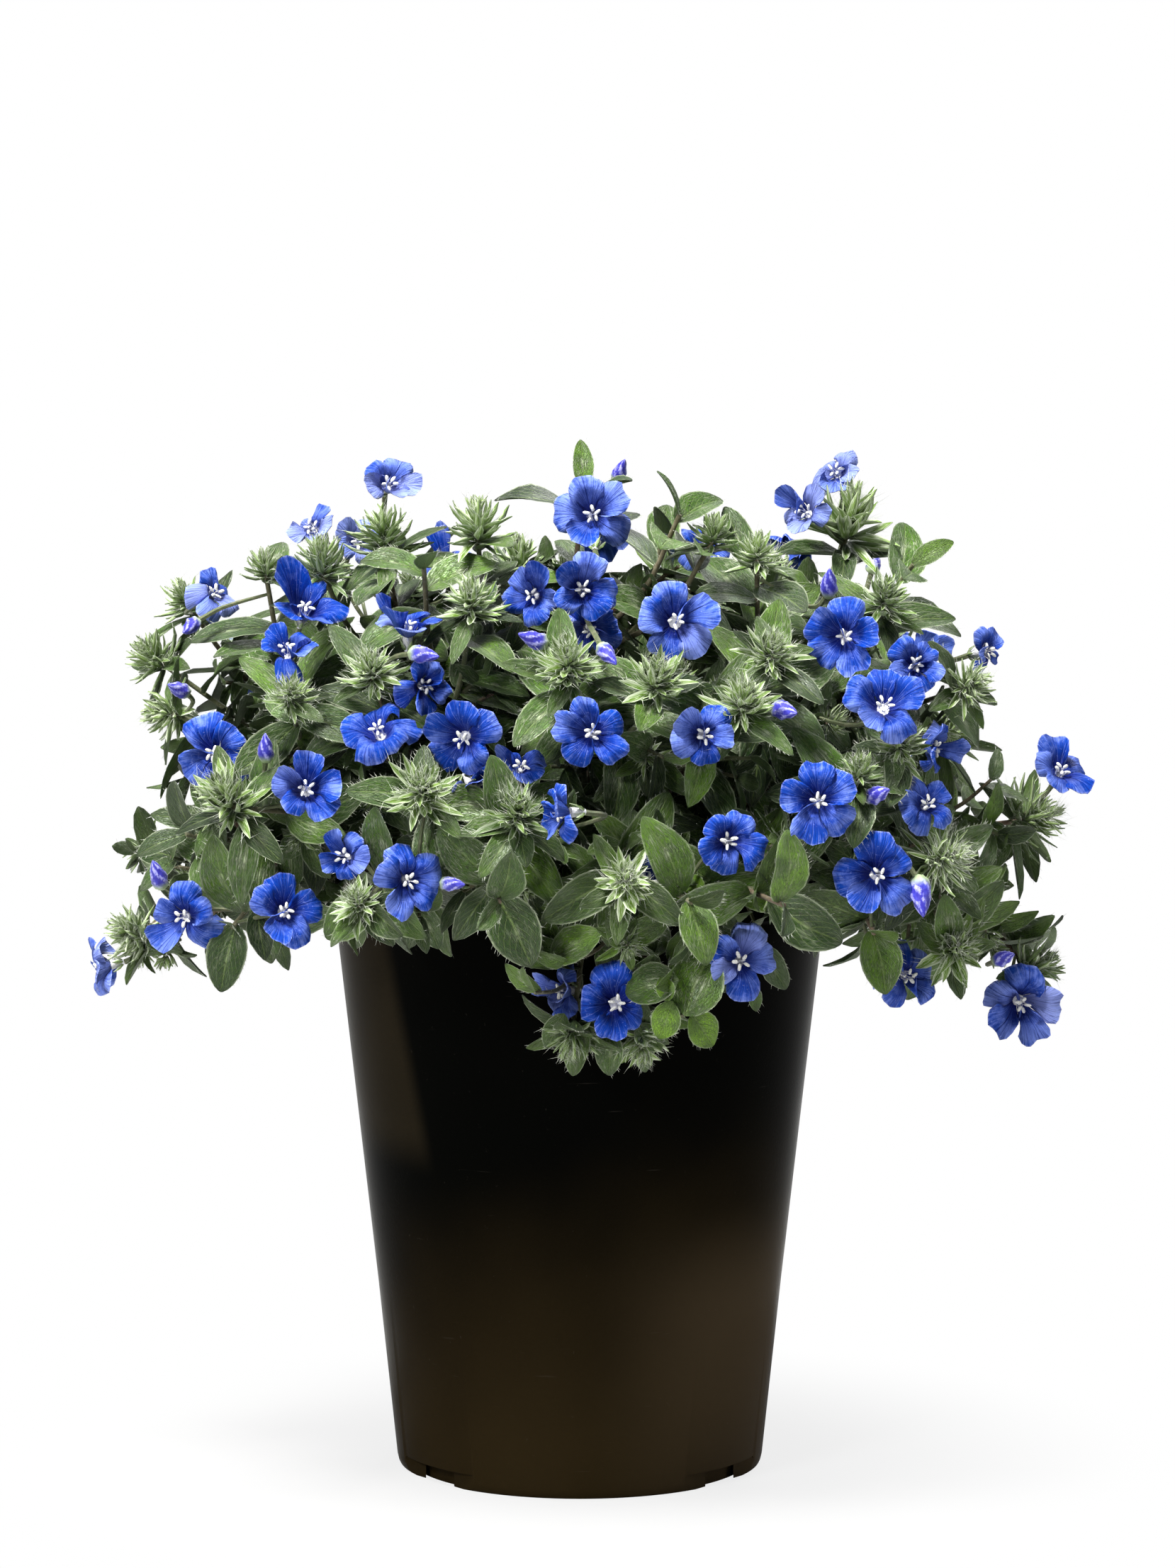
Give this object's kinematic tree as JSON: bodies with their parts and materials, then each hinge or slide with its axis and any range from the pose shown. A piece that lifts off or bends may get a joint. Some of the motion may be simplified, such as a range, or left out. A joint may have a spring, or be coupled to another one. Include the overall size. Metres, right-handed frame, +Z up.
{
  "type": "potted blue daze",
  "caption": "Blue daze in a tall black nursery pot: a rounded mound of grey-green leafy stems with blue flowers, trailing over the rim.",
  "frame": {"origin": "on the pot's axis at the plane that its foot rests on", "axes": "+Z up along the pot's axis, -Y towards the viewer of the plant's front, +X to that viewer's right"},
  "size_m": [0.3228, 0.2822, 0.332],
  "materials": {
    "pot_plastic": "glossy moulded black with a warm brown cast",
    "soil": "matt dark brown compost",
    "leaves": "soft grey-green with silky hairs",
    "petals": "soft cornflower blue with a white eye"
  },
  "bodies": {
    "root": {"bloom_back_left_1": "petals", "bloom_back_left_2": "petals", "bloom_back_left_3": "petals", "bloom_back_middle_1": "petals", "bloom_back_middle_2": "petals", "bloom_back_middle_3": "petals", "bloom_back_right_1": "petals", "bloom_back_right_2": "petals", "bloom_back_right_3": "petals", "bloom_back_top_1": "petals", "bloom_back_top_2": "petals", "bloom_centre_1": "petals", "bloom_centre_2": "petals", "bloom_centre_3": "petals", "bloom_centre_left_high_1": "petals", "bloom_centre_left_high_2": "petals", "bloom_centre_left_low_1": "petals", "bloom_centre_left_low_2": "petals", "bloom_left_low_1": "petals", "bloom_left_low_2": "petals", "bloom_left_low_3": "petals", "bloom_left_mid_1": "petals", "bloom_left_mid_2": "petals", "bloom_left_upper_1": "petals", "bloom_left_upper_2": "petals", "bloom_low_centre_1": "petals", "bloom_low_centre_2": "petals", "bloom_low_centre_3": "petals", "bloom_right_low_1": "petals", "bloom_right_low_2": "petals", "bloom_right_low_3": "petals", "bloom_right_mid_1": "petals", "bloom_right_mid_2": "petals", "bloom_right_upper_1": "petals", "bloom_right_upper_2": "petals", "bloom_top_centre_1": "petals", "bloom_top_centre_2": "petals", "bloom_top_centre_3": "petals", "bloom_top_right_1": "petals", "pot": "pot_plastic", "soil": "soil", "stem_back_left": "leaves", "stem_back_middle": "leaves", "stem_back_right": "leaves", "stem_back_top": "leaves", "stem_centre": "leaves", "stem_centre_left_high": "leaves", "stem_centre_left_low": "leaves", "stem_crown": "leaves", "stem_left_low": "leaves", "stem_left_mid": "leaves", "stem_left_upper": "leaves", "stem_low_centre": "leaves", "stem_right_low": "leaves", "stem_right_mid": "leaves", "stem_right_upper": "leaves", "stem_top_centre": "leaves", "stem_top_left": "leaves", "stem_top_right": "leaves"}
  },
  "joints": []
}
